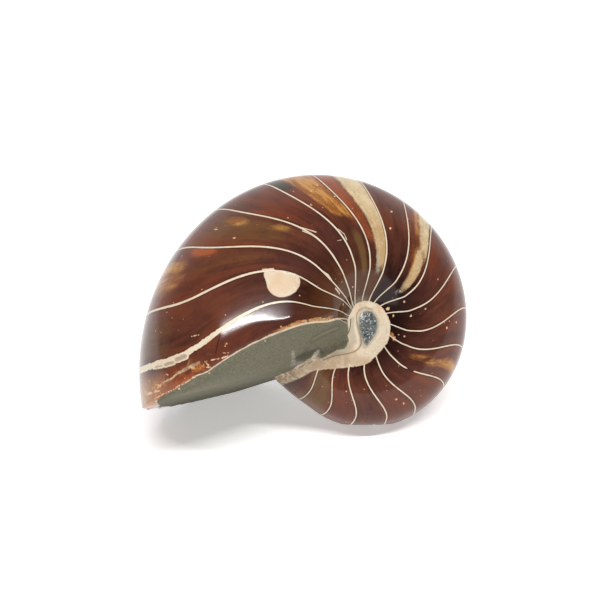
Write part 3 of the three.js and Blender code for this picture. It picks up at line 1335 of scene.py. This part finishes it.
    def blob_laid(self, shop: Workshop, read: Readings, body: Field, shell: Field) -> Field:
        """Lays the light blob on the flank, peach in its middle.

        Args:
            shop: The material's workshop.
            read: What is read at each place.
            body: Colour so far.
            shell: Cream shell colour.

        Returns:
            The colour with the blob.
        """
        mask = (read.blob + (read.cloud - 0.5) * 0.8).line(-0.1, 0.15)
        return shop.mix(mask, body, shop.mix((read.blob - 0.6).ramp(0.0, 1.2) * 0.5, shell, self.shell.peach))

    def inside_rim(self, read: Readings) -> Field:
        """How far inside the rim of the mouth a place lies, in millimetres, worn back near the hub and less
        so at the nose.

        Args:
            read: What is read at each place.

        Returns:
            The distance, negative on the polished shell.
        """
        tip = ((13.2 - read.height) * 0.31).most(-1.7).least(6.5) * read.share.ramp(0.78, 0.84)
        tip = tip * read.height.ramp(27.0, 22.0) * read.height.ramp(-27.0, -17.0)
        return read.rim - read.height.ramp(12.0, 22.0) + read.radius.ramp(17.0, 9.0) * 2.1 - tip

    def rim_trimmed(self, shop: Workshop, read: Readings, body: Field, shell: Field, inward: Field) -> Field:
        """Edges the mouth with a fringe of shell and a scatter of crumbs beside it.

        Args:
            shop: The material's workshop.
            read: What is read at each place.
            body: Colour so far.
            shell: Cream shell colour.
            inward: Distance inside the rim.

        Returns:
            The colour with the trim.
        """
        cloud, fine, radius = read.cloud, read.fine, read.radius
        over = (2.2 - read.seat).line(-0.1, 0.1)
        fringe = inward + 0.6 - radius.ramp(17.0, 9.0) * 0.35 + (cloud - 0.5) * 1.2
        fringe = fringe.line(-0.12, 0.12) * over
        trim = shop.mix((fine + read.share * 0.6 - 0.5).ramp(0.45, 0.62), shell, self.calcite.orange)
        trim = shop.mix(read.height.ramp(4.0, -4.0), trim, self.calcite.deep)
        crumbs = (inward + 1.7 + (cloud - 0.5) * 2.6).line(-0.15, 0.15) * radius.ramp(34.0, 29.0)
        crumbs = crumbs * read.height.ramp(8.0, 16.0) * radius.ramp(12.0, 16.0) * over
        crumbs = crumbs * (fine * 0.5 + cloud - 0.6).ramp(0.0, 0.15)
        crumb_colour = shop.mix(fine.ramp(0.5, 0.68), self.calcite.golden, shell)
        crumb_colour = shop.mix(cloud.ramp(0.5, 0.62) * 0.6, crumb_colour, self.calcite.orange)
        return shop.mix(fringe * 0.85, shop.mix(crumbs * 0.85, body, crumb_colour), trim)

    def mouth_filled(self, shop: Workshop, read: Readings, body: Field, inward: Field) -> tuple[Field, Field]:
        """Fills the mouth with sediment, with a crust of shell where it meets the earlier whorl.

        Args:
            shop: The material's workshop.
            read: What is read at each place.
            body: Colour so far.
            inward: Distance inside the rim.

        Returns:
            The colour, and the sediment's mask.
        """
        seat, cloud, fine = read.seat, read.cloud, read.fine
        matrix = (inward + (fine - 0.5) * 0.5).line(-0.1, 0.1) * (2.2 - seat).line(-0.1, 0.1)
        colour = shop.mix(matrix, body, self.matrix_colour(shop, read, inward))
        crust = (seat + 0.2 + (cloud - 0.5) * 1.6).line(-0.15, 0.15) * (3.0 - seat).line(-0.2, 0.2)
        crust = crust * read.radius.ramp(15.0, 18.0) * (inward - 2.0).line(-0.1, 0.1)
        crust = crust * read.height.ramp(-4.0, 2.0)
        crust_colour = shop.mix((fine + cloud - 0.5).ramp(0.35, 0.65), self.shell.tan, self.shell.cream)
        return shop.mix(crust * 0.85, colour, crust_colour), matrix

    def matrix_colour(self, shop: Workshop, read: Readings, inward: Field) -> Field:
        """Grey-green sediment with painted shade in a hollow, along a ridge and on the far edges, a sand line
        on the ridge and a pale vein.

        Args:
            shop: The material's workshop.
            read: What is read at each place.
            inward: Distance inside the rim.

        Returns:
            The sediment's colour.
        """
        cloud, fine, near = read.cloud, read.fine, read.height.ramp(8.0, 16.0)
        grain = shop.noise(read.place, 0.35, 2.0, 0.7)
        colour = shop.mix((fine * 0.5 + grain * 0.5).ramp(0.35, 0.65), self.matrix.dark, self.matrix.sand)
        colour = shop.mix(0.5, colour, self.matrix.grey)
        # painted shade: the sediment is darkened away from the near flank, on its far edges
        colour = shop.mix((1.0 - near) * 0.45, colour, self.matrix.dark)
        # painted shade in the hollow of the sediment
        hollow = (read.hollow + (cloud - 0.5) * 3.0).ramp(-0.8, 1.6) * near * 0.75
        colour = shop.mix(hollow, colour, self.matrix.hollow)
        # painted shade on both sides of the ridge
        colour = shop.mix((1.5 - read.ridge).ramp(0.0, 1.2) * near * 0.4, colour, self.matrix.dark)
        colour = shop.mix((0.28 - read.ridge).line(-0.15, 0.15) * near * 0.7, colour, self.matrix.sand)
        vein = (0.55 - read.vein + (fine - 0.5) * 1.4 + (cloud - 0.5) * 0.8).line(-0.15, 0.2) * near * 0.8
        colour = shop.mix(vein, colour, self.matrix.calcite)
        dots, pick = shop.cells(read.place, 2.2)
        bright = ((pick - 0.55) * 0.9 - dots).line(-0.06, 0.06) * (1.6 - inward).ramp(0.0, 0.8) * near
        return shop.mix(bright, colour, self.calcite.fleck)

    def hub_laid(self, shop: Workshop, read: Readings, colour: Field, shell: Field,
                 inward: Field) -> tuple[Field, Field, Field]:
        """Lays the halo, the cream ring and the dark core round the umbilicus.

        Args:
            shop: The material's workshop.
            read: What is read at each place.
            colour: Colour so far.
            shell: Cream shell colour.
            inward: Distance inside the rim.

        Returns:
            The colour, the ring's mask and the core's mask.
        """
        cloud, fine = read.cloud, read.fine
        ring = (read.ring + (fine - 0.5) * 0.8 + (cloud - 0.5) * 0.6).line(-0.12, 0.12)
        halo = (read.ring + (cloud - 0.5) * 1.2).ramp(-2.2, -0.1)
        halo = halo * read.chamber.ramp(12.4, 14.5) * inward.ramp(0.6, 0.0)
        colour = shop.mix(halo * 0.5, colour, self.shell.shade)
        colour = shop.mix(ring, colour, self.ring_colour(shop, read, shell))
        core = (read.core + (fine - 0.5) * 0.5).line(-0.12, 0.12)
        return shop.mix(core, colour, self.core_colour(shop, read)), ring, core

    def ring_colour(self, shop: Workshop, read: Readings, shell: Field) -> Field:
        """Cream ring with a grey-green shade beside the core, painted shade on the wall, a light rib, a brown
        seam and a dark slit.

        Args:
            shop: The material's workshop.
            read: What is read at each place.
            shell: Cream shell colour.

        Returns:
            The ring's colour.
        """
        cloud, plan, seam = read.cloud, read.plan, read.seam
        colour = shop.mix((read.core + cloud * 0.6).ramp(-0.9, 0.3) * 0.6, shell, self.shell.shade)
        colour = shop.mix(read.radius.ramp(6.5, 11.0) * cloud.ramp(0.2, 0.6) * 0.75, colour, self.shell.tan)
        colour = shop.mix((read.ring + (cloud - 0.5)).ramp(0.7, 0.0) * 0.25, colour, self.shell.peach)
        colour = shop.mix((0.75 - seam).ramp(0.0, 0.7) * 0.35, colour, self.shell.tan)
        # painted shade: the wall beside the core is greyed with the shade colour
        wall = (shop.inside(plan, self.small.wall) + (cloud - 0.5) * 1.2).line(-0.4, 0.6)
        colour = shop.mix(wall * 0.45, colour, self.shell.shade)
        rib = shop.inside(plan, self.small.rib).line(-0.15, 0.15)
        colour = shop.mix(rib * 0.8, colour, self.shell.cream)
        colour = shop.mix((0.13 - seam).line(-0.12, 0.12) * 0.75, colour, self.shell.seam)
        slit = shop.inside(plan, self.small.slit).line(-0.12, 0.12)
        return shop.mix(slit * 0.85, colour, self.calcite.plum)

    def core_colour(self, shop: Workshop, read: Readings) -> Field:
        """Dark slate with small light crystals, paler at its edge.

        Args:
            shop: The material's workshop.
            read: What is read at each place.

        Returns:
            The core's colour.
        """
        _, spark = shop.cells(read.place, 0.42)
        grain = shop.noise(read.place, 0.5, 3.0, 0.7)
        colour = shop.mix(grain.ramp(0.38, 0.62), self.shell.core_deep, self.shell.core)
        colour = shop.mix(read.cloud.ramp(0.45, 0.7) * 0.5, colour, self.shell.core_deep)
        colour = shop.mix((spark + grain - 0.5).ramp(0.74, 0.96) * 0.75, colour, self.shell.crystal)
        return shop.mix((0.8 - read.core).ramp(0.0, 0.8) * 0.6, colour, self.shell.shade)

    def shell_colour(self, shop: Workshop, read: Readings) -> Field:
        """Cream shell with peach and tan patches."""
        colour = shop.mix(read.cloud.ramp(0.45, 0.75), self.shell.cream, self.shell.peach)
        return shop.mix((read.fine + read.broad - 0.55).ramp(0.42, 0.75) * 0.4, colour, self.shell.tan)


@dataclass(frozen=True)
class Studio:
    """Pale floor, soft lights and the camera, in metres and degrees."""

    scale: float = 0.0003
    focal_pixels: float = 1700.0
    frame_pixels: float = 600.0
    centre_right: float = 49.475
    centre_up: float = -35.02
    elevation: float = 30.0
    sensor: float = 36.0
    dim: float = 0.13
    low: float = 0.36
    bright: float = 1.15
    floor_glow: float = 0.42
    floor_half: float = 4.0
    strip_bearing: float = 7.0
    strip_elevation: float = 66.4
    strip_distance: float = 1.45
    strip_size: tuple[float, float] = (1.54, 0.035)
    strip_power: float = 25.0
    nearest_seen: float = 0.02

    def floor(self) -> bpy.types.Object:
        """A wide pale floor that glows a little.

        Returns:
            The floor's object.
        """
        half = self.floor_half
        mesh = bpy.data.meshes.new("pale_floor")
        mesh.from_pydata([(-half, -half, 0), (half, -half, 0), (half, half, 0), (-half, half, 0)], [],
                         [(0, 1, 2, 3)])
        floor = bpy.data.objects.new("pale_floor", mesh)
        bpy.context.scene.collection.objects.link(floor)
        shop = Workshop("pale_floor")
        shop.surface({"Base Color": (0.9, 0.9, 0.9, 1.0), "Roughness": 0.8, "Specular IOR Level": 0.1,
                      "Emission Color": (1.0, 1.0, 1.0, 1.0), "Emission Strength": self.floor_glow})
        mesh.materials.append(shop.material)
        return floor

    def light(self, name: str, bearing: float, elevation: float, distance: float,
              size: tuple[float, float], power: float) -> bpy.types.Object:
        """A rectangular soft light aimed at the fossil.

        Args:
            name: The light's name.
            bearing: Degrees to the right of the camera's side.
            elevation: Degrees above the floor.
            distance: Metres from the fossil.
            size: Width and height in metres.
            power: Watts.

        Returns:
            The light's object.
        """
        data = bpy.data.lights.new(name, "AREA")
        data.shape = "RECTANGLE"
        data.size, data.size_y = size
        data.energy = power
        lamp = bpy.data.objects.new(name, data)
        a, b = math.radians(bearing), math.radians(elevation)
        lamp.location = (distance * math.sin(a) * math.cos(b), -distance * math.cos(a) * math.cos(b),
                         distance * math.sin(b) + 0.03)
        lamp.rotation_euler = (math.pi / 2 - b, 0.0, a)
        bpy.context.scene.collection.objects.link(lamp)
        return lamp

    def world(self) -> None:
        """Pale surroundings, dimmer in the high part on the camera's side: their height and depth are read
        from the direction of view."""
        world = bpy.data.worlds.new("pale_studio")
        world.use_nodes = True
        tree = world.node_tree
        tree.nodes.clear()
        shop = Workshop.of_tree(tree)
        place = shop.take("ShaderNodeTexCoord", {}, {}, "Generated")
        split = shop.make("ShaderNodeSeparateXYZ", {}, {0: place})
        back, height = Field(shop, split.outputs["Y"]), Field(shop, split.outputs["Z"])
        behind = back.ramp(0.2, 0.75)
        low = height.ramp(0.35, 0.1)
        strength = self.dim + (self.bright - self.dim) * behind + (self.low - self.dim) * low * (1.0 - behind)
        glow = shop.take("ShaderNodeBackground", {}, {"Strength": strength}, 0)
        shop.make("ShaderNodeOutputWorld", {}, {0: glow})
        bpy.context.scene.world = world

    def camera(self, stance: Stance) -> bpy.types.Object:
        """The camera that sees the coil's centre where the photograph has it.

        Args:
            stance: Where the coil's centre stands.

        Returns:
            The camera's object.
        """
        data = bpy.data.cameras.new("camera")
        data.sensor_width = self.sensor
        data.lens = self.sensor * self.focal_pixels / self.frame_pixels
        data.clip_start = self.nearest_seen
        camera = bpy.data.objects.new("camera", data)
        lift = math.radians(self.elevation)
        up = np.array([0.0, math.sin(lift), math.cos(lift)])
        toward = np.array([0.0, -math.cos(lift), math.sin(lift)])
        right = np.array([1.0, 0.0, 0.0])
        eye = np.array(stance.centre) * MM + self.scale * (
            self.focal_pixels * toward - self.centre_right * right - self.centre_up * up)
        camera.location = tuple(eye)
        camera.rotation_euler = (math.pi / 2 - lift, 0.0, 0.0)
        bpy.context.scene.collection.objects.link(camera)
        bpy.context.scene.camera = camera
        return camera

    def build(self, stance: Stance) -> None:
        """Sets the floor, light, surroundings and camera.

        Args:
            stance: Where the coil's centre stands.
        """
        self.floor()
        self.light("long_strip", self.strip_bearing, self.strip_elevation, self.strip_distance,
                   self.strip_size, self.strip_power)
        self.world()
        self.camera(stance)
        settings = bpy.context.scene.view_settings
        settings.view_transform = "Standard"
        settings.look = "None"


def main() -> None:
    """Builds the studio and the fossil, and reports each piece."""
    logging.basicConfig(level=logging.INFO, format="%(name)s: %(message)s")
    body = NautilusBody()
    Studio().build(body.stance)
    log.info("studio set")
    piece = body.build()
    piece.data.materials.append(FossilFinish().material())
    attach(piece, "root")
    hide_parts(NODE)
    log.info("%s: %d vertices, %d faces", piece.name, len(piece.data.vertices), len(piece.data.polygons))


if __name__ == "__main__":
    main()
